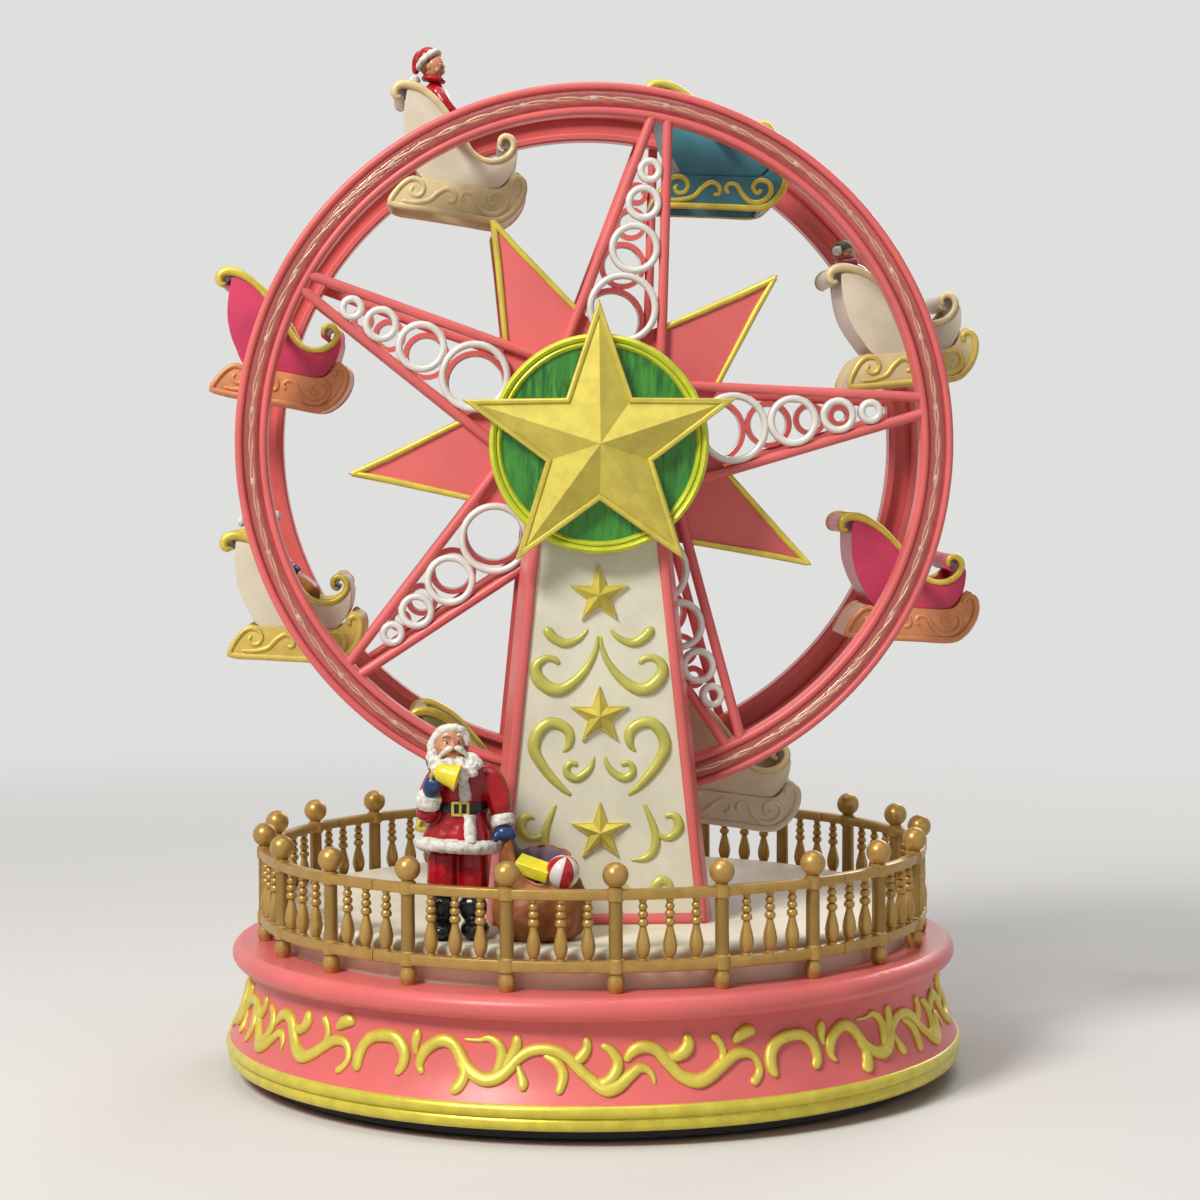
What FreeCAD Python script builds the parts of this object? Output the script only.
import FreeCAD, Part
import math
import os

V = FreeCAD.Vector

# Lighted ferris wheel ornament. Millimetres, ground at z = 0, front faces -Y, +X to the right.

# Clearances
fit = 0.05
press = 0.02
joint_gap = 0.3
slide_gap = 0.1
sink = 0.3

# Drum base
ground_gap = 1.5
foot_pocket = 0.5
foot_pad_r = 9.0
foot_inset = 4.7
foot_count = 6
cover_t = 4.0
band_h = 9.0
drum_h = 31.5
drum_wall = 2.5
drum_top_t = 3.0
flange_w = 6.0
flange_t = 2.5
flare = 8.5
flare_mid = 3.0
flare_drop = 4.0
flare_mid_h = 10.5
band_seat = 4.5
band_proud = 1.7
band_bead = 5.5

# Deck, lip ring and fence circle
deck_r = 116.7
deck_h = 16.5
deck_t = 3.0
deck_edge = 2.5
fence_offset = 5.4
drum_offset = 4.9
lip_flat_h = 3.3
lip_hook = 4.2
lip_bulge = 7.2
lip_flat = 4.0

# Fence
post_count = 21
post_first_deg = 1.26
post_r = 2.6
post_pin_r = 1.5
post_pin_h = 2.2
finial_r = 4.4
foot_ball_r = 3.0
low_rail_rise = 6.7
low_rail_h = 4.0
fence_bay_h = 20.3
top_rail_h = 3.5
finial_rise = 4.8
rail_depth = 4.0
baluster_count = 3
bead_r = 1.8
vase_r = 2.45
vase_share = 0.54
bead_count = 3

# Towers
tower_gap = 4.5
tower_depth = 14.0
tower_back_t = 2.2
tower_foot_half = 38.0
tower_head_half = 20.4
tower_head_r = 26.0
tower_bevel = 2.4
tower_edge = 3.5
panel_ledge = 2.0
panel_t = 2.2
panel_recess = 0.5
tenon_half = 25.0
tenon_inset = 2.0
relief_t = 2.0
scroll_w = 3.4
star_heights = (116.2, 73.7, 32.7)
small_star_r = 10.7
small_star_rise = 3.4

# Scroll arcs on the tower panel: shares of the half width, and heights above the deck
shoulder_scroll = ((0.67, 97.7), (0.41, 105.0), (0.15, 103.5))
wing_scroll = ((0.11, 101.0), (0.53, 93.5), (0.74, 81.0))
hook_scroll = ((0.67, 44.5), (0.50, 57.5), (0.13, 62.0))
inner_scroll = ((0.50, 47.5), (0.32, 51.5), (0.12, 55.0))
low_scroll = ((0.83, 28.0), (0.66, 37.0), (0.43, 43.0))
foot_scroll = ((0.81, 10.5), (0.67, 19.0), (0.44, 24.0))

# Axle and bearings
axle_z = 231.5
axle_r = 3.0
axle_overhang = 12.0
boss_r = 9.0
boss_recess = 2.0
bush_r = 5.0
bush_flange_r = 8.0
bush_flange_t = 1.0
bush_len = 10.0

# Wheel
pivot_circle_r = 122.5
groove_w = 5.8
rim_wall = 2.8
rim_depth = 10.0
rim_face_y = 45.5
groove_depth = 4.0
web_t = 2.0
tube_r = 2.7
spoke_count = 5
spoke_first_deg = 6.6
bar_r = 1.8
bar_sink = 2.0
bar_spread = 16.0
bar_spread_at = 40.0
bar_taper = 0.169
ray_tip_r = 89.0
ray_valley_r = 35.9
ray_plate_t = 2.5
ray_face_sink = 3.5
trim_w = 2.6
trim_h = 1.0
trim_reach = 42.5
ring_places = (49.3, 71.0, 87.3, 99.0)
ring_bite = 0.25
ring_wall = 1.8
ring_rise = 2.6
bead_ring_r = 1.3
hub_r = 26.0
collar_r = 7.0
spool_r = 12.0
spool_flange_r = 22.0
spool_flange_t = 3.0
slip_ring_r = 16.0
slip_ring_t = 4.0
brush_at = 12.0
brush_w = 4.0

# Hub ornament on the front tower
hub_disc_r = 38.2
hub_disc_t = 4.0
hub_disc_gap = 3.0
hub_rim_w = 2.4
hub_rim_h = 2.0
hub_spigot_r = 8.0
hub_star_r = 50.0
hub_star_valley_r = 19.6
hub_star_t = 3.0
hub_star_rise = 8.0

# Drive behind the rear tower
module = 0.8
gear_teeth = 48
pinion_teeth = 12
tooth_share = 0.35
tooth_rise = 0.7
tooth_foot = 1.5
tooth_top = 0.6
gear_w = 5.0
gear_back_gap = 3.0
gear_plate_t = 2.0
cover_depth = 16.0
cover_wall = 2.0
motor_r = 11.0
shaft_r = 1.0
shaft_hole_gap = 0.6
gear_hub_r = 6.0

# Sleighs, measured from the pivot pin, nose towards +X
sleigh_count = 8
sleigh_first_deg = 114.0
sleigh_tilts = (-9.0, -2.0, 4.5, -3.0, -8.0, -3.0, -3.5, -10.5)
tub_half = 17.0
tub_wall = 2.0
skirt_proud = 1.0
skirt_wall = 2.0
tub_floor = -13.0
tub_bottom = -16.5
tub_nose = 17.0
tub_heel = -9.5
tub_back_top = (-19.6, 14.5)
tub_back_mid = (-17.6, -3.0)
tub_front_mid = (22.6, -10.5)
tub_front_top = (23.4, -1.0)
tub_lip = (20.0, -1.5)
tub_dip = (13.8, -6.1)
tub_knee = (6.5, -3.9)
tub_crest = (-14.5, 14.6)
back_roll_r = 3.4
curl_at = (17.8, -0.5)
curl_r = 5.2
curl_wall = 2.0
seat_z = -6.0
seat_front = -2.0
skirt_bottom = -28.3
skirt_heel_x = -20.5
skirt_toe_x = 19.5
skirt_bow = (26.5, -22.0)
skirt_nose = (28.8, -13.9)
skirt_tip = (27.5, -10.5)
skirt_scroll = (24.3, -8.6)
skirt_throat = (22.7, -10.4)
skirt_hook = (21.0, -14.2)
skirt_shoulder = (-12.8, -16.0)
skirt_back = (-17.5, -20.5)
skirt_inside = (-16.0, 18.0)
ear_r = 3.0
pin_r = 1.8
pin_tip_r = 1.0
pin_gap = 0.06
pin_boss_bite = 0.5
pin_shoulder_gap = 0.3

# Riders, seated on the sleigh bench: sleigh number and how far the neck is above the bench
rider_necks = {1: 27.5, 3: 23.0, 7: 22.5}
rider_x = -7.5
rider_lean = 4.0
torso_r = 5.8
neck_r = 4.2
head_r = 5.0
head_rise = 4.5
hat_h = 8.0
hat_tip_r = 1.5

# Santa, sack and toys on the deck
santa_inset = 17.9
santa_deg = 29.5
boot_r = 5.5
boot_h = 12.0
boot_apart = 6.0
leg_r = 5.8
hem_r = 14.0
hem_z = 29.0
hem_h = 4.0
waist_r = 9.6
waist_z = 44.5
shoulder_r = 8.6
shoulder_z = 56.0
collar_z = 61.0
santa_neck_r = 4.5
santa_head_r = 7.2
santa_head_at = (-2.2, -1.5, 65.5)
santa_hat_top = 74.0
santa_hat_r = 3.0
beard_r = 5.0
beard_at = (0.2, -5.5, 60.0)
arm_r = 4.0
right_arm = ((-7.5, 0.0, 55.0), (-12.0, -3.0, 43.5), (-10.0, -8.0, 53.0))
left_arm = ((8.0, 0.0, 56.0), (14.5, -2.0, 46.5), (15.0, -5.0, 37.0))
sack_inset = 21.4
sack_deg = 13.9
sack_foot_r = 14.8
sack_r = 15.4
sack_belly_z = 9.0
sack_h = 36.0
sack_top_r = 12.5
sack_mouth_z = 26.5
sack_mouth_deg = 33.0
sack_mouth_axis = (2, 1, 0)
toy_ball_r = 5.6
toy_ball_x = 8.7
toy_ball_z = 23.6
toy_box = (7.0, 6.0, 9.0)
toy_box_at = (-8.0, -5.0, 21.0)

# Electric parts in the drum
cell_r = 7.25
cell_len = 50.5
cell_gap = 0.5
cell_count = 4
contact_len = 2.9
contact_r = 3.0
box_wall = 2.0
box_at = (0.0, -30.0)
door_ledge = 2.0
door_t = 2.5
board_size = (60.0, 40.0, 1.6)
board_at = (48.0, 48.0)
standoff_r = 2.5
standoff_h = 6.5
chip_size = (14.0, 8.0, 3.0)
speaker_at = (-52.0, 42.0)
speaker_r = 25.0
speaker_h = 14.0
magnet_r = 12.0
sound_hole_r = 1.5
sound_rings = ((0, 1), (6.0, 6), (12.0, 12), (18.0, 18))
screw_r = 1.5
screw_head_r = 2.8
screw_head_t = 2.0
screw_len = 14.0
screw_post_r = 4.0
tower_screw_x = 15.0
lead_r = 0.6
lead_hole_r = 2.4
lead_bend = 3.0
motor_lead_x = 26.0
lead_rise = 8.0

# Slide switch in the drum's back wall
switch_z = 28.0
switch_pad = (28.0, 16.0)
switch_pad_t = 6.5
switch_travel = 4.0
knob_size = (5.0, 3.8)
knob_proud = 3.5
knob_depth = 6.0
housing_size = (22.0, 14.0)
housing_depth = 9.0

# Levels and radii that follow from the sizes above
base_z = ground_gap + cover_t
band_top = base_z + band_h
drum_top = band_top + drum_h
drum_ceiling = drum_top - drum_top_t
deck_z = drum_top + deck_h
lip_top = drum_top + lip_flat_h
fence_r = deck_r + fence_offset
drum_r = fence_r + drum_offset
seat_r = drum_r + band_seat
cover_r = drum_r
foot_circle_r = deck_r - foot_inset
switch_pad_y = drum_r + flare_mid - drum_wall - switch_pad_t
knob_end_y = drum_r + flare_mid + knob_proud
bore_r = seat_r - drum_wall
groove_in = pivot_circle_r - groove_w / 2
groove_out = pivot_circle_r + groove_w / 2
rim_in = groove_in - rim_wall
rim_out = groove_out + rim_wall
rim_back_y = rim_face_y - rim_depth
web_y = rim_face_y - groove_depth
bar_y = rim_face_y - bar_sink
plate_y = rim_face_y - ray_face_sink
pin_seat_y = web_y - web_t / 2
plate_back_y = plate_y - ray_plate_t
ring_face_y = plate_y + ring_rise
tower_in = rim_face_y + tower_gap
tower_out = tower_in + tower_depth
cavity_floor = tower_in + tower_back_t
ledge_y = tower_out - panel_recess - panel_t
panel_face = tower_out - panel_recess
flange_face = tower_in - bush_flange_t
boss_end = tower_out - boss_recess
gear_pitch_r = module * gear_teeth / 2
pinion_pitch_r = module * pinion_teeth / 2
motor_z = axle_z - gear_pitch_r - pinion_pitch_r
gear_plate_y = tower_out + gear_plate_t
gear_y = gear_plate_y + gear_back_gap
axle_end = tower_out + axle_overhang
brush_lead_z = motor_z - motor_r - lead_hole_r * 2
full = 360.0
half_turn = 180.0
past = 1.0


def polar(radius, degrees):
    """A point in a plane, from its radius and angle."""
    t = math.radians(degrees)
    return radius * math.cos(t), radius * math.sin(t)


def closed_face(place, start, moves):
    """A face bounded by lines and arcs: a move is a point, or a pair (via, end) for an arc."""
    edges = []
    here = start
    for move in list(moves) + [start]:
        if isinstance(move[0], tuple):
            via, there = move
            edges.append(Part.Arc(place(here), place(via), place(there)).toShape())
        else:
            there = move
            if there == here:
                continue
            edges.append(Part.LineSegment(place(here), place(there)).toShape())
        here = there
    return Part.Face(Part.Wire(edges))


def lathe(start, moves):
    """Turn an (r, z) section about the vertical axis."""
    face = closed_face(lambda p: V(p[0], 0, p[1]), start, moves)
    return face.revolve(V(0, 0, 0), V(0, 0, 1), full)


def wheel_lathe(start, moves):
    """Turn an (r, y) section about the axle."""
    face = closed_face(lambda p: V(0, p[1], axle_z + p[0]), start, moves)
    return face.revolve(V(0, 0, axle_z), V(0, 1, 0), full)


def slab(start, moves, y0, y1):
    """An outline in the XZ plane, thick from y0 to y1."""
    face = closed_face(lambda p: V(p[0], y0, p[1]), start, moves)
    return face.extrude(V(0, y1 - y0, 0))


def post(radius, z0, z1, x=0.0, y=0.0):
    """An upright cylinder."""
    return Part.makeCylinder(radius, z1 - z0, V(x, y, z0))


def rod(radius, y0, y1, x=0.0, z=axle_z):
    """A cylinder along Y."""
    return Part.makeCylinder(radius, y1 - y0, V(x, y0, z), V(0, 1, 0))


def block(x0, x1, y0, y1, z0, z1):
    return Part.makeBox(x1 - x0, y1 - y0, z1 - z0, V(x0, y0, z0))


def bar_between(a, b, radius):
    """A round bar with one domed end at a."""
    run = b.sub(a)
    bar = Part.makeCylinder(radius, run.Length, a, run)
    return bar.fuse(Part.makeSphere(radius, a))


def joined(shapes):
    return shapes[0].multiFuse(shapes[1:]).removeSplitter()


def mirrored(shape):
    """The same piece on the other side of the wheel."""
    return shape.mirror(V(0, 0, 0), V(0, 1, 0))


def around(shape, degrees):
    """A copy turned about the vertical axis, from the front towards +X."""
    turned = shape.copy()
    turned.rotate(V(0, 0, 0), V(0, 0, 1), degrees)
    return turned


def star_points(tip_r, valley_r, x, z, first=90.0):
    points = []
    for k in range(2 * spoke_count):
        radius = tip_r if k % 2 == 0 else valley_r
        a, b = polar(radius, first + k * half_turn / spoke_count)
        points.append((x + a, z + b))
    return points


def faceted_star(tip_r, valley_r, x, z, y_back, thickness, rise):
    """A five-pointed star with a flat back and ridges that climb to its middle, facing -Y."""
    y_edge = y_back - thickness
    points = star_points(tip_r, valley_r, x, z)
    plate = slab(points[0], points[1:], y_edge, y_back)
    peak = V(x, y_edge - rise, z)
    rim = [V(a, y_edge, b) for a, b in points]
    faces = [Part.Face(Part.makePolygon(rim + [rim[0]]))]
    for k, corner in enumerate(rim):
        follow = rim[(k + 1) % len(rim)]
        faces.append(Part.Face(Part.makePolygon([corner, follow, peak, corner])))
    crown = Part.makeSolid(Part.makeShell(faces))
    return plate.fuse(crown)


nodes = {}


def foot_places():
    return [polar(foot_circle_r, (k + 0.5) * full / foot_count) for k in range(foot_count)]


def screw_places():
    return [polar(foot_circle_r, k * full / foot_count) for k in range(foot_count)]


def make_feet():
    pads = [post(foot_pad_r, 0, ground_gap + foot_pocket, x, y) for x, y in foot_places()]
    nodes["rubber_feet"] = Part.Compound(pads)


cell_pack = cell_count * 2 * cell_r + (cell_count - 1) * cell_gap
bay_x = cell_len / 2 + contact_len
bay_y = cell_pack / 2 + 2 * cell_gap
door_z = ground_gap + door_t


def bay(grow, z0, z1):
    """The battery bay's rectangle, grown on every side."""
    x, y = box_at
    return block(x - bay_x - grow, x + bay_x + grow, y - bay_y - grow, y + bay_y + grow, z0, z1)


def standoff_places():
    x, y = board_at
    reach_x = board_size[0] / 2 - 2 * standoff_r
    reach_y = board_size[1] / 2 - 2 * standoff_r
    return [(x + a * reach_x, y + b * reach_y) for a in (-1, 1) for b in (-1, 1)]


def make_cover():
    cover = post(cover_r, ground_gap, base_z)
    for x, y in foot_places():
        cover = cover.cut(post(foot_pad_r + fit, 0, ground_gap + foot_pocket, x, y))
    for x, y in screw_places():
        cover = cover.cut(post(screw_r + slide_gap, 0, base_z, x, y))
        cover = cover.cut(post(screw_head_r + slide_gap, 0, ground_gap + screw_head_t, x, y))
    cover = cover.cut(bay(0, 0, base_z))
    cover = cover.cut(bay(door_ledge, 0, door_z))
    for ring, holes in sound_rings:
        for k in range(holes):
            a, b = polar(ring, k * full / holes)
            cover = cover.cut(post(sound_hole_r, 0, base_z, speaker_at[0] + a, speaker_at[1] + b))
    legs = [post(standoff_r, base_z - past, base_z + standoff_h, x, y) for x, y in standoff_places()]
    nodes["bottom_cover"] = joined([cover] + legs)
    nodes["battery_door"] = bay(door_ledge - slide_gap, ground_gap, door_z)


def make_batteries():
    x, y = box_at
    first = y - cell_pack / 2 + cell_r
    cell_z = door_z + cell_gap + cell_r
    lid_z = cell_z + cell_r + cell_gap
    shell = bay(box_wall, base_z, lid_z + box_wall).cut(bay(0, base_z - past, lid_z))
    nodes["battery_box"] = shell
    cells = []
    contacts = []
    for k in range(cell_count):
        cell_y = first + k * (2 * cell_r + cell_gap)
        start = V(x - cell_len / 2, cell_y, cell_z)
        cells.append(Part.makeCylinder(cell_r, cell_len, start, V(1, 0, 0)))
        for side in (-1, 1):
            seat = V(x + side * cell_len / 2, cell_y, cell_z)
            contacts.append(Part.makeCylinder(contact_r, contact_len, seat, V(side, 0, 0)))
    nodes["battery_cells"] = Part.Compound(cells)
    nodes["battery_contacts"] = Part.Compound(contacts)


def make_board():
    x, y = board_at
    z = base_z + standoff_h
    length, width, thick = board_size
    board = block(x - length / 2, x + length / 2, y - width / 2, y + width / 2, z, z + thick)
    long_side, short_side, tall = chip_size
    chips = []
    for k in (-1, 0, 1):
        centre = x + k * length / 4
        chips.append(block(centre - short_side / 2, centre + short_side / 2,
                           y - long_side / 2, y + long_side / 2, z + thick / 2, z + thick + tall))
    nodes["circuit_board"] = joined([board] + chips)


def wire(points):
    """A round wire along straight runs joined by tangent arcs."""
    edges = []
    here = points[0]
    for before, corner, after in zip(points, points[1:], points[2:]):
        back = before.sub(corner).normalize()
        ahead = after.sub(corner).normalize()
        half = (math.pi - back.getAngle(ahead)) / 2
        reach = lead_bend * math.tan(half)
        inward = back.add(ahead).normalize()
        middle = corner + inward * (lead_bend / math.cos(half) - lead_bend)
        enter = corner + back * reach
        leave = corner + ahead * reach
        edges.append(Part.LineSegment(here, enter).toShape())
        edges.append(Part.Arc(enter, middle, leave).toShape())
        here = leave
    edges.append(Part.LineSegment(here, points[-1]).toShape())
    start = points[1].sub(points[0])
    section = Part.Wire(Part.makeCircle(lead_r, points[0], start))
    return Part.Wire(edges).makePipeShell([section], True, False)


def make_leads():
    """The motor's wire from the board up the rear tower, and the brushes' wire beside it."""
    y = tower_in + tower_depth / 2
    board_top = base_z + standoff_h + board_size[2]
    entry_z = (drum_ceiling + board_top + lead_rise) / 2
    motor_lead = wire([V(motor_lead_x, y, board_top), V(motor_lead_x, y, board_top + lead_rise),
                       V(0, y, entry_z), V(0, y, motor_z - motor_r - slide_gap)])
    face_y = tower_in - lead_r
    brush_lead = wire([V(0, y - lead_r * 3, brush_lead_z), V(0, face_y, brush_lead_z),
                       V(0, face_y, axle_z - brush_at - brush_w / 2)])
    nodes["wire_leads"] = Part.Compound([motor_lead, brush_lead])


def make_speaker():
    frame = lathe((speaker_r, base_z), [(speaker_r, base_z + cover_t),
                                        (magnet_r, base_z + speaker_h / 2),
                                        (magnet_r, base_z + speaker_h), (0, base_z + speaker_h),
                                        (0, base_z + speaker_h / 3), (magnet_r, base_z + speaker_h / 3),
                                        (speaker_r - drum_wall, base_z)])
    frame.translate(V(speaker_at[0], speaker_at[1], 0))
    nodes["speaker"] = frame


def make_band():
    inner = seat_r + fit
    waist_z = base_z + band_h / 2
    low = (seat_r + band_proud, base_z)
    waist = (seat_r + band_bead - band_proud, waist_z)
    top = (drum_r + flare, band_top)
    low_bead = (seat_r + band_bead - band_proud / 2, base_z + band_h / 4)
    high_bead = (seat_r + band_bead, waist_z + band_h / 4)
    nodes["foot_band"] = lathe((inner, base_z), [low, (low_bead, waist), (high_bead, top),
                                                 (inner, band_top)])


def drum_outline(inset, z_low):
    """The wall's flaring side, moved in by inset, from the top down to z_low."""
    top = (drum_r - inset, drum_top - flare_drop)
    mid = (drum_r + flare_mid - inset, band_top + flare_mid_h)
    low = (drum_r + flare - inset, z_low)
    return top, mid, low


def switch_block(half_x, half_z, y0, y1, x=0.0):
    return block(x - half_x, x + half_x, y0, y1, switch_z - half_z, switch_z + half_z)


def make_drum():
    top, mid, low = drum_outline(0, band_top)
    outer = lathe((0, base_z), [(seat_r, base_z), (seat_r, band_top), low, (mid, top),
                                (drum_r, drum_top), (0, drum_top)])
    top, mid, low = drum_outline(drum_wall, band_top)
    neck_z = band_top + drum_wall
    bore_low = (bore_r, neck_z)
    inner = lathe((0, 0), [(cover_r - flange_w, 0), (cover_r - flange_w, base_z + flange_t),
                           (bore_r, base_z + flange_t), bore_low, mid, top,
                           (top[0], drum_ceiling), (0, drum_ceiling)])
    drum = outer.cut(inner)
    pad_x, pad_z = switch_pad
    pad = switch_block(pad_x / 2, pad_z / 2, switch_pad_y, drum_r + flare).common(outer)
    posts = []
    for x, y in screw_places():
        posts.append(post(screw_post_r, base_z, drum_ceiling + past, x, y))
    drum = joined([drum, pad] + posts)
    for x, y in screw_places():
        drum = drum.cut(post(screw_r + press, 0, ground_gap + screw_head_t + screw_len + past, x, y))
    window_x = knob_size[0] / 2 + switch_travel / 2 + slide_gap
    window_z = knob_size[1] / 2 + slide_gap
    drum = drum.cut(switch_block(window_x + past, window_z + past, switch_pad_y - past, drum_r + flare))
    for side in (-1, 1):
        for x in (-tower_screw_x, tower_screw_x):
            y = side * (tower_in + tower_depth / 2)
            drum = drum.cut(post(screw_r + slide_gap, drum_ceiling - past, drum_top + past, x, y))
        middle = side * (tower_in + tower_depth / 2)
        drum = drum.cut(post(lead_hole_r, drum_ceiling - past, drum_top + past, 0, middle))
    nodes["base_shell"] = drum


def make_lip():
    inner = deck_r + slide_gap
    hook_z = drum_top - lip_hook
    low = (drum_r + fit + past, hook_z)
    bulge = (drum_r + lip_bulge, (hook_z + lip_top) / 2 - past)
    top = (drum_r + lip_flat, lip_top)
    ring = lathe((drum_r + fit, hook_z), [low, (bulge, top), (inner, lip_top),
                                          (inner, drum_top), (drum_r + fit, drum_top)])
    for k in range(post_count):
        x, y = post_place(k)
        ring = ring.cut(post(post_pin_r + fit, lip_top - post_pin_h - slide_gap, lip_top + past, x, y))
    nodes["lip_ring"] = ring


def make_deck():
    corner = (deck_r - deck_edge * (1 - math.sqrt(0.5)), deck_z - deck_edge * (1 - math.sqrt(0.5)))
    tray = lathe((deck_r, drum_top), [(deck_r, deck_z - deck_edge), (corner, (deck_r - deck_edge, deck_z)),
                                      (0, deck_z), (0, deck_z - deck_t),
                                      (deck_r - deck_t, deck_z - deck_t), (deck_r - deck_t, drum_top)])
    for side in (-1, 1):
        y0, y1 = tenon_span(side)
        tray = tray.cut(block(-tenon_half - slide_gap, tenon_half + slide_gap,
                              y0 - slide_gap, y1 + slide_gap, drum_top, deck_z))
    nodes["deck_plate"] = tray


def post_angle(k):
    return post_first_deg + k * full / post_count


def post_place(k):
    """Posts are counted from the front towards +X."""
    return polar(fence_r, post_angle(k) - 90.0)


rail_z = lip_top + low_rail_rise
bay_z = rail_z + low_rail_h
top_rail_z = bay_z + fence_bay_h
rail_top = top_rail_z + top_rail_h
finial_z = rail_top + finial_rise


def fence_post():
    centre = lip_top + foot_ball_r
    pin = post(post_pin_r, lip_top - post_pin_h, centre)
    foot = Part.makeSphere(foot_ball_r, V(0, 0, centre))
    foot = foot.common(post(foot_ball_r + past, lip_top, centre + foot_ball_r + past))
    shaft = post(post_r, centre, finial_z)
    finial = Part.makeSphere(finial_r, V(0, 0, finial_z))
    return joined([pin, foot, shaft, finial])


def baluster():
    """Three beads over a vase, between the two rails."""
    top = top_rail_z + sink
    foot = bay_z - sink
    neck = bead_r / 2
    vase_top = bay_z + fence_bay_h * vase_share
    vase_mid = (bay_z + vase_top) / 2 - vase_r / 2
    outline = [(bead_r, foot), ((vase_r, vase_mid), (neck, vase_top))]
    pitch = (top_rail_z - vase_top) / bead_count
    for k in range(bead_count):
        low = vase_top + k * pitch
        outline.append(((bead_r, low + pitch / 2), (neck, low + pitch)))
    return lathe((0, foot), outline + [(neck, top), (0, top)])


def rail(z0, height, start, sweep):
    outer = Part.makeCylinder(fence_r + rail_depth / 2, height, V(0, 0, z0), V(0, 0, 1), sweep)
    inner = Part.makeCylinder(fence_r - rail_depth / 2, height, V(0, 0, z0), V(0, 0, 1), full)
    return around(outer.cut(inner), start - 90.0)


def make_fence(name, first, last, lead, tail):
    """A length of fence from post first to post last, with lead and tail balusters beyond them."""
    pitch = full / post_count
    step = pitch / (baluster_count + 1)
    gap_deg = math.degrees(joint_gap / 2 / fence_r)
    start = post_angle(first) - (lead + 0.5) * step + gap_deg
    end = post_angle(last) + (tail + 0.5) * step - gap_deg
    pieces = [rail(rail_z, low_rail_h, start, end - start),
              rail(top_rail_z, top_rail_h, start, end - start)]
    upright = fence_post()
    picket = baluster()
    upright.translate(V(0, -fence_r, 0))
    picket.translate(V(0, -fence_r, 0))
    for k in range(first, last + 1):
        pieces.append(around(upright, post_angle(k)))
    steps = (last - first) * (baluster_count + 1)
    for k in range(-lead, steps + tail + 1):
        if k % (baluster_count + 1) != 0:
            pieces.append(around(picket, post_angle(first) + k * step))
    nodes[name] = pieces[0].multiFuse(pieces[1:])


def tenon_span(side):
    edges = (side * (tower_in + tenon_inset), side * (tower_out - tenon_inset))
    return min(edges), max(edges)


def tower_half(z):
    """Half width of the tower's face at height z."""
    share = (z - deck_z) / (axle_z - deck_z)
    return tower_foot_half + (tower_head_half - tower_foot_half) * share


def tower_outline(inset, z0, y):
    """The tapering outline at depth y, pulled in by inset."""
    low = tower_half(z0) - inset
    high = tower_half(axle_z) - inset
    corners = [V(-low, y, z0), V(low, y, z0), V(high, y, axle_z), V(-high, y, axle_z)]
    return Part.makePolygon(corners + [corners[0]])


def tower_prism(inset, z0, y0, y1):
    return Part.Face(tower_outline(inset, z0, y0)).extrude(V(0, y1 - y0, 0))


def tower_shell():
    """Front tower's shell: closed towards the wheel, open to the front."""
    front = tower_outline(0, deck_z, -tower_out)
    back = tower_outline(-tower_bevel, deck_z, -tower_in)
    body = Part.makeLoft([front, back], True, True)
    head = Part.makeCone(tower_head_r, tower_head_r + tower_bevel, tower_depth,
                         V(0, -tower_out, axle_z), V(0, 1, 0))
    y0, y1 = tenon_span(-1)
    tenon = block(-tenon_half, tenon_half, y0, y1, drum_top, deck_z + tower_edge)
    body = joined([body, head, tenon])
    pocket = tower_prism(tower_edge, deck_z + tower_edge, -tower_out - past, -ledge_y)
    pocket = pocket.fuse(rod(tower_head_r - tower_edge, -tower_out - past, -ledge_y))
    inset = tower_edge + panel_ledge
    hollow = tower_prism(inset, deck_z + inset, -ledge_y - past, -cavity_floor)
    hollow = hollow.fuse(rod(tower_head_r - inset, -ledge_y - past, -cavity_floor))
    body = body.cut(pocket).cut(hollow)
    body = body.fuse(rod(boss_r, -boss_end, -tower_in - tower_back_t / 2))
    body = body.cut(rod(bush_r + press, -tower_out, -tower_in + past))
    middle = -(tower_in + tower_out) / 2
    for x in (-tower_screw_x, tower_screw_x):
        body = body.cut(post(screw_r + press, drum_top - past,
                             drum_ceiling + screw_len + past, x, middle))
    body = body.cut(post(lead_hole_r, drum_top - past, deck_z + inset + past, 0, middle))
    return body.removeSplitter()


def tower_panel():
    gap = tower_edge + slide_gap
    panel = tower_prism(gap, deck_z + gap, -panel_face, -ledge_y)
    panel = panel.fuse(rod(tower_head_r - gap, -panel_face, -ledge_y))
    return panel.removeSplitter()


def make_towers():
    shell = tower_shell()
    nodes["front_tower_shell"] = shell
    outlet = rod(lead_hole_r, tower_in - past, cavity_floor + past, 0, brush_lead_z)
    nodes["rear_tower_shell"] = mirrored(shell).cut(outlet)
    panel = tower_panel()
    nodes["front_tower_panel"] = panel.cut(rod(boss_r + fit, -tower_out, -ledge_y + past))
    plate = rod(hub_disc_r, tower_out, gear_plate_y)
    neck = rod(tower_head_r - tower_edge * 2, ledge_y + past / 2, tower_out + past / 2)
    rear = joined([mirrored(panel), neck, plate])
    rear = rear.cut(rod(boss_r + fit, ledge_y - past, gear_plate_y + past))
    shaft_hole = shaft_r + shaft_hole_gap
    rear = rear.cut(rod(shaft_hole, ledge_y - past, gear_plate_y + past, 0, motor_z))
    nodes["rear_tower_panel"] = rear


def make_tower_stars():
    stars = []
    valley = small_star_r * hub_star_valley_r / hub_star_r
    for height in star_heights:
        stars.append(faceted_star(small_star_r, valley, 0, deck_z + height, -panel_face,
                                  trim_h, small_star_rise))
    nodes["tower_stars"] = Part.Compound(stars)


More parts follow.
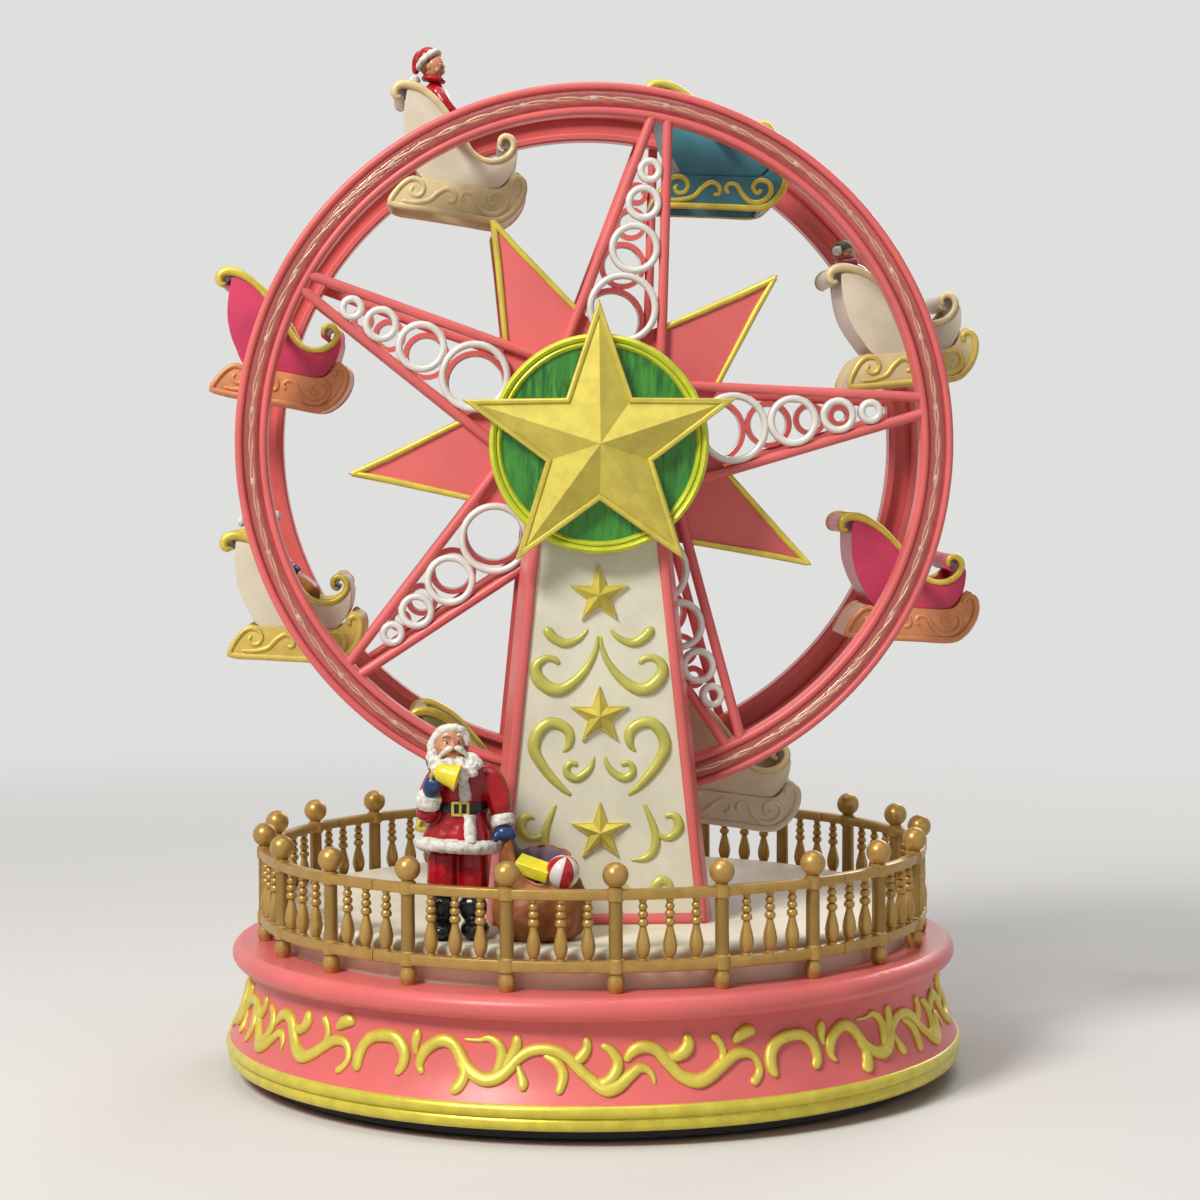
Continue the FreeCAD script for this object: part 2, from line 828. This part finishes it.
def arc_band(start, via, end):
    """A raised band along an arc on the front panel, scroll_w wide."""
    a, b, c = (V(x, -panel_face, z) for x, z in (start, via, end))
    spine = Part.Arc(a, b, c).toShape().Curve
    centre = spine.Center
    reach = spine.Radius
    turn = [math.atan2(p[1] - centre.z, p[0] - centre.x) for p in (start, via, end)]
    edge = []
    for side in (-1, 1):
        r = reach + side * scroll_w / 2
        edge.append([(centre.x + r * math.cos(t), centre.z + r * math.sin(t)) for t in turn])
    inner, outer = edge
    moves = [(inner[1], inner[2]), outer[2], (outer[1], outer[0])]
    return slab(inner[0], moves, -panel_face - relief_t, -panel_face)


def make_scrolls():
    bands = []
    for arc in (shoulder_scroll, wing_scroll, hook_scroll, inner_scroll, low_scroll, foot_scroll):
        for side in (-1, 1):
            points = []
            for share, rise in arc:
                z = deck_z + rise
                points.append((side * share * tower_half(z), z))
            bands.append(arc_band(*points))
    nodes["tower_scrolls"] = Part.Compound(bands)


def make_bearings():
    body = rod(bush_r, -tower_in - bush_len, -tower_in)
    flange = rod(bush_flange_r, -tower_in, -flange_face)
    bush = joined([body, flange]).cut(rod(axle_r + fit, -tower_out, 0))
    nodes["axle_bushes"] = Part.Compound([bush, mirrored(bush)])
    nodes["axle"] = rod(axle_r, -tower_in - bush_len - past, axle_end)


def make_hub_ornament():
    back = tower_out + hub_disc_gap
    face = back + hub_disc_t
    front = face + hub_rim_h
    disc = wheel_lathe((0, -back), [(hub_disc_r, -back), (hub_disc_r, -front),
                                    (hub_disc_r - hub_rim_w, -front), (hub_disc_r - hub_rim_w, -face),
                                    (0, -face)])
    spigot = rod(hub_spigot_r, -back - past, -boss_end)
    nodes["front_hub_disc"] = joined([disc, spigot])
    nodes["front_hub_star"] = faceted_star(hub_star_r, hub_star_valley_r, 0, axle_z, -front,
                                           hub_star_t, hub_star_rise)


def spoke_frame(along, across, degrees):
    """A point of the wheel from its place along and across the ray at an angle."""
    t = math.radians(degrees)
    x = along * math.cos(t) - across * math.sin(t)
    z = axle_z + along * math.sin(t) + across * math.cos(t)
    return x, z


def bar_offset(along):
    """Distance of a spoke bar from its spoke's middle line."""
    return bar_spread - bar_taper * (along - bar_spread_at)


def spoke_angle(k):
    return spoke_first_deg + k * full / spoke_count


half_bay = half_turn / spoke_count
bar_slope = math.tan(math.radians(half_bay))
bar_start = (bar_spread + bar_taper * bar_spread_at) / (bar_slope + bar_taper)
bar_end = rim_in + rim_wall / 2


def spoke_bar(degrees, side):
    x0, z0 = spoke_frame(bar_start, side * bar_offset(bar_start), degrees)
    x1, z1 = spoke_frame(bar_end, side * bar_offset(bar_end), degrees)
    start = V(x0, bar_y, z0)
    run = V(x1, bar_y, z1).sub(start)
    return Part.makeCylinder(bar_r, run.Length, start, run)


def bar_joint(degrees):
    """The ball where two spokes' bars meet."""
    x, z = spoke_frame(bar_start, bar_offset(bar_start), degrees)
    return Part.makeSphere(bar_r + sink, V(x, bar_y, z))


def ring_radius(along):
    """A ring that just bites into the two bars beside it."""
    lean = math.cos(math.atan(bar_taper))
    return bar_offset(along) * lean - bar_r + ring_bite


def wheel_side():
    """The rear wheel: rim, spoke bars, ring tubes, ray star and hub in one moulding."""
    rim = wheel_lathe((rim_in, rim_back_y), [(rim_in, rim_face_y), (groove_in, rim_face_y),
                                             (groove_in, web_y), (groove_out, web_y),
                                             (groove_out, rim_face_y), (rim_out, rim_face_y),
                                             (rim_out, rim_back_y), (groove_out, rim_back_y),
                                             (groove_out, web_y - web_t), (groove_in, web_y - web_t),
                                             (groove_in, rim_back_y)])
    points = star_points(ray_tip_r, ray_valley_r, 0, axle_z, spoke_first_deg + half_bay)
    plate = slab(points[0], points[1:], plate_back_y, plate_y)
    hub = rod(hub_r, rim_back_y, plate_y)
    collar = rod(collar_r, plate_y - past, flange_face - slide_gap)
    pieces = [rim, plate, hub, collar]
    for k in range(spoke_count):
        pieces.append(bar_joint(spoke_angle(k)))
        for side in (-1, 1):
            pieces.append(spoke_bar(spoke_angle(k), side))
        for along in ring_places:
            x, z = spoke_frame(along, 0, spoke_angle(k))
            outer = ring_radius(along)
            tube = rod(outer, plate_y - past / 2, ring_face_y, x, z)
            pieces.append(tube.cut(rod(outer - ring_wall, plate_y - past, ring_face_y + past, x, z)))
    for x, z in pivots():
        pieces.append(rod(groove_w / 2 + pin_boss_bite, rim_back_y, pin_seat_y, x, z))
    wheel = joined(pieces)
    wheel = wheel.cut(rod(axle_r + press, rim_back_y - past, tower_in))
    for x, z in pivots():
        wheel = wheel.cut(rod(pin_r + press, rim_back_y - past, pin_seat_y, x, z))
    return wheel


def pivots():
    places = []
    for k in range(sleigh_count):
        x, b = polar(pivot_circle_r, sleigh_first_deg - k * full / sleigh_count)
        places.append((x, axle_z + b))
    return places


def ray_trims(wheel):
    """Gilt edges that run from each ray's tip down both of its sides."""
    a, b = polar(ray_valley_r, half_bay)
    slope = b / (ray_tip_r - a)
    low = ray_tip_r - trim_reach
    width = trim_w * math.sqrt(1 + slope * slope)
    inner_tip = ray_tip_r - width / slope
    outer = slope * trim_reach
    outline = [(ray_tip_r, 0), (low, outer), (low, outer - width), (inner_tip, 0),
               (low, width - outer), (low, -outer)]
    trims = []
    for k in range(spoke_count):
        points = [spoke_frame(along, across, spoke_angle(k) + half_bay) for along, across in outline]
        trims.append(slab(points[0], points[1:], plate_y, plate_y + trim_h))
    return Part.Compound(trims).cut(wheel)


def spoke_beads():
    """Half-round silvered beads on the front of the ring tubes."""
    beads = []
    for k in range(spoke_count):
        for along in ring_places:
            x, z = spoke_frame(along, 0, spoke_angle(k))
            reach = ring_radius(along) - bead_ring_r
            bead = Part.makeTorus(reach, bead_ring_r, V(x, ring_face_y, z), V(0, 1, 0))
            keep = rod(reach + 2 * bead_ring_r, ring_face_y, ring_face_y + 2 * bead_ring_r, x, z)
            beads.append(bead.common(keep))
    return beads


def make_wheel():
    rear = wheel_side()
    nodes["rear_wheel"] = rear
    nodes["front_wheel"] = mirrored(rear)
    trims = ray_trims(rear)
    nodes["ray_trims"] = Part.Compound([trims, mirrored(trims)])
    beads = Part.Compound(spoke_beads())
    bars = [spoke_bar(spoke_angle(k), side) for k in range(spoke_count) for side in (-1, 1)]
    beads = beads.cut(Part.Compound(bars))
    nodes["ring_beads"] = Part.Compound([beads, mirrored(beads)])
    tube_y = web_y + tube_r + fit
    tube = Part.makeTorus(pivot_circle_r, tube_r, V(0, tube_y, axle_z), V(0, 1, 0))
    nodes["rear_light_tube"] = tube
    nodes["front_light_tube"] = mirrored(tube)
    spool = wheel_lathe((axle_r + press, -rim_back_y),
                        [(spool_flange_r, -rim_back_y), (spool_flange_r, spool_flange_t - rim_back_y),
                         (spool_r, spool_flange_t - rim_back_y), (spool_r, rim_back_y - spool_flange_t),
                         (spool_flange_r, rim_back_y - spool_flange_t), (spool_flange_r, rim_back_y),
                         (axle_r + press, rim_back_y)])
    nodes["wheel_spool"] = spool
    pins = []
    for x, z in pivots():
        body = rod(pin_r, tub_half + pin_shoulder_gap, pin_seat_y, x, z)
        tip = rod(pin_tip_r, tub_half - tub_wall - pin_shoulder_gap, tub_half + past, x, z)
        pin = joined([body, tip])
        pins.append(pin)
        pins.append(mirrored(pin))
    nodes["sleigh_pins"] = Part.Compound(pins)
    ring = rod(slip_ring_r, plate_y, plate_y + slip_ring_t).cut(rod(collar_r + press, 0, tower_in))
    nodes["slip_ring"] = ring
    brushes = []
    for side in (-1, 1):
        z = axle_z + side * brush_at
        brushes.append(block(-brush_w / 2, brush_w / 2, plate_y + slip_ring_t + slide_gap, tower_in,
                             z - brush_w / 2, z + brush_w / 2))
    nodes["contact_brushes"] = Part.Compound(brushes)


def gear(teeth, x, z, y0, y1, first_deg):
    """A spur gear with straight flanks and ample backlash."""
    pitch_r = module * teeth / 2
    root = pitch_r - module
    tip = pitch_r + module * tooth_rise
    step = full / teeth
    half = step * tooth_share / 2
    flank = ((root, -tooth_foot), (tip, -tooth_top), (tip, tooth_top), (root, tooth_foot))
    points = []
    for k in range(teeth):
        middle = first_deg + k * step
        for radius, turn in flank:
            a, b = polar(radius, middle + turn * half)
            points.append((x + a, z + b))
    return slab(points[0], points[1:], y0, y1)


def make_drive():
    ring = gear(gear_teeth, 0, axle_z, gear_y, gear_y + gear_w, -90.0)
    hub = rod(gear_hub_r, gear_plate_y + past, gear_y + past)
    wheel = joined([ring, hub]).cut(rod(axle_r + press, tower_in, axle_end + gear_w))
    nodes["drive_gear"] = wheel
    half_step = half_turn / pinion_teeth
    teeth = gear(pinion_teeth, 0, motor_z, gear_y, gear_y + gear_w, 90.0 + half_step)
    shaft = rod(shaft_r, cavity_floor + boss_recess, gear_y + past, 0, motor_z)
    nodes["motor_pinion"] = joined([teeth, shaft])
    motor = rod(motor_r, cavity_floor, ledge_y, 0, motor_z)
    bore = rod(shaft_r + fit, cavity_floor + boss_recess - slide_gap, ledge_y + past, 0, motor_z)
    nodes["gear_motor"] = motor.cut(bore)
    end = gear_plate_y + cover_depth
    inner = hub_disc_r - cover_wall
    nodes["rear_gear_cover"] = wheel_lathe((hub_disc_r, gear_plate_y),
                                           [(hub_disc_r, end - cover_wall),
                                            (hub_disc_r - cover_wall, end), (0, end),
                                            (0, end - cover_wall), (inner, end - cover_wall),
                                            (inner, gear_plate_y)])


def tub_side(y0, y1):
    """The sleigh's side outline, pivot pin at the origin."""
    return slab(tub_back_top, [(tub_back_mid, (tub_heel, tub_bottom)), (tub_nose, tub_bottom),
                               (tub_front_mid, tub_front_top), tub_lip, (tub_dip, tub_knee), tub_crest],
                y0, y1)


def tub_hollow():
    """The space inside the tub, open upwards."""
    w = tub_wall
    sky = tub_back_top[1] + back_roll_r + past
    back_low = (tub_heel + w / 2, tub_floor)
    back_mid = (tub_back_mid[0] + w, tub_back_mid[1])
    back_top = (tub_back_top[0] + w, tub_back_top[1])
    front_low = (tub_nose - w / 2, tub_floor)
    front_mid = (tub_front_mid[0] - w, tub_front_mid[1] + w / 2)
    front_top = (tub_front_top[0] - w, tub_front_top[1])
    return slab(back_top, [(back_mid, back_low), front_low, (front_mid, front_top),
                           (front_top[0], sky), (back_top[0], sky)], -tub_half + w, tub_half - w)


def skirt_face(y0, y1):
    """The scrolled apron below the tub."""
    heel = (skirt_heel_x, skirt_bottom)
    return slab(heel, [(skirt_toe_x, skirt_bottom), (skirt_bow, skirt_nose), (skirt_tip, skirt_scroll),
                       skirt_throat, (skirt_hook, (tub_nose, tub_bottom)), (tub_heel, tub_bottom),
                       skirt_shoulder, (skirt_back, heel)], y0, y1)


def sleigh_shape():
    """One sleigh about its pivot: tub, back roll, front curl, bench, apron and pin ears."""
    tub = tub_side(-tub_half, tub_half).cut(tub_hollow())
    bench_back = tub_back_mid[0] + tub_wall / 2
    bench = block(bench_back, seat_front, -tub_half + past, tub_half - past, tub_floor - past, seat_z)
    bench = bench.common(tub_side(-tub_half, tub_half))
    roll_at = (tub_back_top[0] - back_roll_r / 2, tub_back_top[1] - back_roll_r / 2)
    roll = rod(back_roll_r, -tub_half, tub_half, roll_at[0], roll_at[1])
    curl = rod(curl_r, -tub_half, tub_half, curl_at[0], curl_at[1])
    curl = curl.cut(rod(curl_r - curl_wall, -tub_half - past, tub_half + past, curl_at[0], curl_at[1]))
    mouth = slab(curl_at, [(curl_at[0] + curl_r, curl_at[1] - curl_r * 2),
                           (curl_at[0] - curl_r, curl_at[1] - curl_r * 2)],
                 -tub_half + tub_wall, tub_half - tub_wall)
    curl = curl.cut(mouth)
    apron = skirt_face(-tub_half - skirt_proud, tub_half + skirt_proud)
    inside = block(*skirt_inside, -tub_half + skirt_wall, tub_half - skirt_wall,
                   skirt_bottom - past, tub_bottom - past)
    apron = apron.cut(inside)
    pieces = [tub, bench, roll, curl, apron]
    for side in (-1, 1):
        y0, y1 = sorted((side * (tub_half - tub_wall), side * tub_half))
        pieces.append(rod(ear_r, y0, y1, 0, 0))
    sleigh = joined(pieces)
    return sleigh.cut(rod(pin_tip_r + pin_gap, -tub_half - past, tub_half + past, 0, 0))


def rider_shape(neck_h):
    """A seated figure that leans back: coat, head and a soft hat."""
    neck = V(rider_x - rider_lean, 0, seat_z + neck_h)
    hem = Part.Wire(Part.makeCircle(torso_r, V(rider_x, 0, seat_z)))
    collar = Part.Wire(Part.makeCircle(neck_r, neck))
    coat = Part.makeLoft([hem, collar], True, True)
    centre = neck.add(V(0, 0, head_rise))
    head = Part.makeSphere(head_r, centre)
    hat = Part.makeCone(head_r, hat_tip_r, hat_h, centre, V(-hat_tip_r, 0, hat_h))
    return joined([coat, head, hat])


def placed(shape, k):
    """The shape hung on pivot k, tilted as its sleigh hangs."""
    x, z = pivots()[k]
    copy = shape.copy()
    copy.rotate(V(0, 0, 0), V(0, -1, 0), sleigh_tilts[k])
    copy.translate(V(x, 0, z))
    return copy


def make_sleighs():
    sleigh = sleigh_shape()
    for k in range(sleigh_count):
        nodes[f"sleigh_{k + 1}"] = placed(sleigh, k)
    for number, neck_h in rider_necks.items():
        nodes[f"rider_{number}"] = placed(rider_shape(neck_h), number - 1)


def make_santa():
    """A standing figure: boots, legs, flared coat, two bent arms, head with beard and hat."""
    coat = lathe((0, hem_z), [(hem_r, hem_z), (hem_r, hem_z + hem_h), (waist_r, waist_z),
                              (shoulder_r, shoulder_z), (santa_neck_r, collar_z), (0, collar_z)])
    head = Part.makeSphere(santa_head_r, V(*santa_head_at))
    hat_h = santa_hat_top - santa_head_at[2]
    hat = Part.makeCone(santa_head_r, santa_hat_r, hat_h, V(*santa_head_at), V(0, 0, 1))
    pieces = [coat, head, hat, Part.makeSphere(beard_r, V(*beard_at))]
    for side in (-1, 1):
        x = side * boot_apart
        pieces += [post(leg_r, boot_h / 2, hem_z + past, x), post(boot_r, 0, boot_h, x),
                   post(boot_r, 0, boot_h / 2, x, -boot_r)]
    for arm in (right_arm, left_arm):
        shoulder, elbow, hand = (V(*place) for place in arm)
        pieces += [bar_between(shoulder, elbow, arm_r), bar_between(elbow, hand, arm_r),
                   Part.makeSphere(arm_r, hand)]
    santa = joined(pieces)
    x, y = polar(deck_r - santa_inset, -90.0 - santa_deg)
    santa.translate(V(x, y, deck_z))
    return santa


def make_toys():
    """A ball and a wrapped box that show in the sack's mouth."""
    ball = Part.makeSphere(toy_ball_r, V(toy_ball_x, 0, toy_ball_z))
    w, d, h = toy_box
    x, y, z = toy_box_at
    return Part.Compound([ball, block(x, x + w, y, y + d, z, z + h)])


def make_deck_figures():
    """Santa, and beside him the sack with its slanting mouth."""
    santa = make_santa()
    nodes["santa_figure"] = santa
    sack = lathe((0, 0), [(sack_foot_r, 0), (sack_r, sack_belly_z), (sack_top_r, sack_h), (0, sack_h)])
    above = block(-2 * sack_r, 2 * sack_r, -2 * sack_r, 2 * sack_r, sack_mouth_z, 2 * sack_h)
    above.rotate(V(0, 0, sack_mouth_z), V(*sack_mouth_axis), sack_mouth_deg)
    toys = make_toys()
    sack = sack.cut(above).cut(toys)
    x, y = polar(deck_r - sack_inset, -90.0 - sack_deg)
    toys.translate(V(x, y, deck_z))
    sack.translate(V(x, y, deck_z))
    nodes["sack_toys"] = toys
    nodes["gift_sack"] = sack.cut(santa)


def make_screws():
    screws = []
    places = [(x, y, ground_gap) for x, y in screw_places()]
    for side in (-1, 1):
        for x in (-tower_screw_x, tower_screw_x):
            places.append((x, side * (tower_in + tower_out) / 2, drum_ceiling - screw_head_t))
    for x, y, z in places:
        head = post(screw_head_r, z, z + screw_head_t, x, y)
        shank = post(screw_r, z + screw_head_t / 2, z + screw_head_t + screw_len, x, y)
        screws.append(joined([head, shank]))
    nodes["case_screws"] = Part.Compound(screws)


def make_switch():
    width, height = knob_size
    rest_x = -switch_travel / 2
    inner_y = switch_pad_y - knob_depth
    knob = switch_block(width / 2, height / 2, inner_y, knob_end_y, rest_x)
    nodes["power_switch"] = knob
    long_side, tall = housing_size
    body = switch_block(long_side / 2, tall / 2, switch_pad_y - housing_depth, switch_pad_y)
    slot_x = width / 2 + switch_travel / 2 + slide_gap
    slot = switch_block(slot_x, height / 2 + slide_gap, inner_y - slide_gap, switch_pad_y + past)
    nodes["switch_housing"] = body.cut(slot)


make_feet()
make_cover()
make_batteries()
make_board()
make_speaker()
make_band()
make_drum()
make_lip()
make_deck()
make_fence("fence_front", -2, 2, 1, 1)
make_fence("fence_right", 3, 7, 2, 1)
make_fence("fence_back", 8, 13, 2, 2)
make_fence("fence_left", 14, 18, 1, 2)
make_towers()
make_tower_stars()
make_scrolls()
make_bearings()
make_hub_ornament()
make_wheel()
make_drive()
make_sleighs()
make_deck_figures()
make_screws()
make_switch()
make_leads()

os.makedirs("parts", exist_ok=True)
for name, shape in nodes.items():
    shape.exportStep(f"parts/{name}.step")
    box = shape.BoundBox
    print(name, shape.isValid(), len(shape.Solids), round(shape.Volume),
          [round(v, 1) for v in (box.XMin, box.XMax, box.YMin, box.YMax, box.ZMin, box.ZMax)])
print(len(nodes), "nodes")
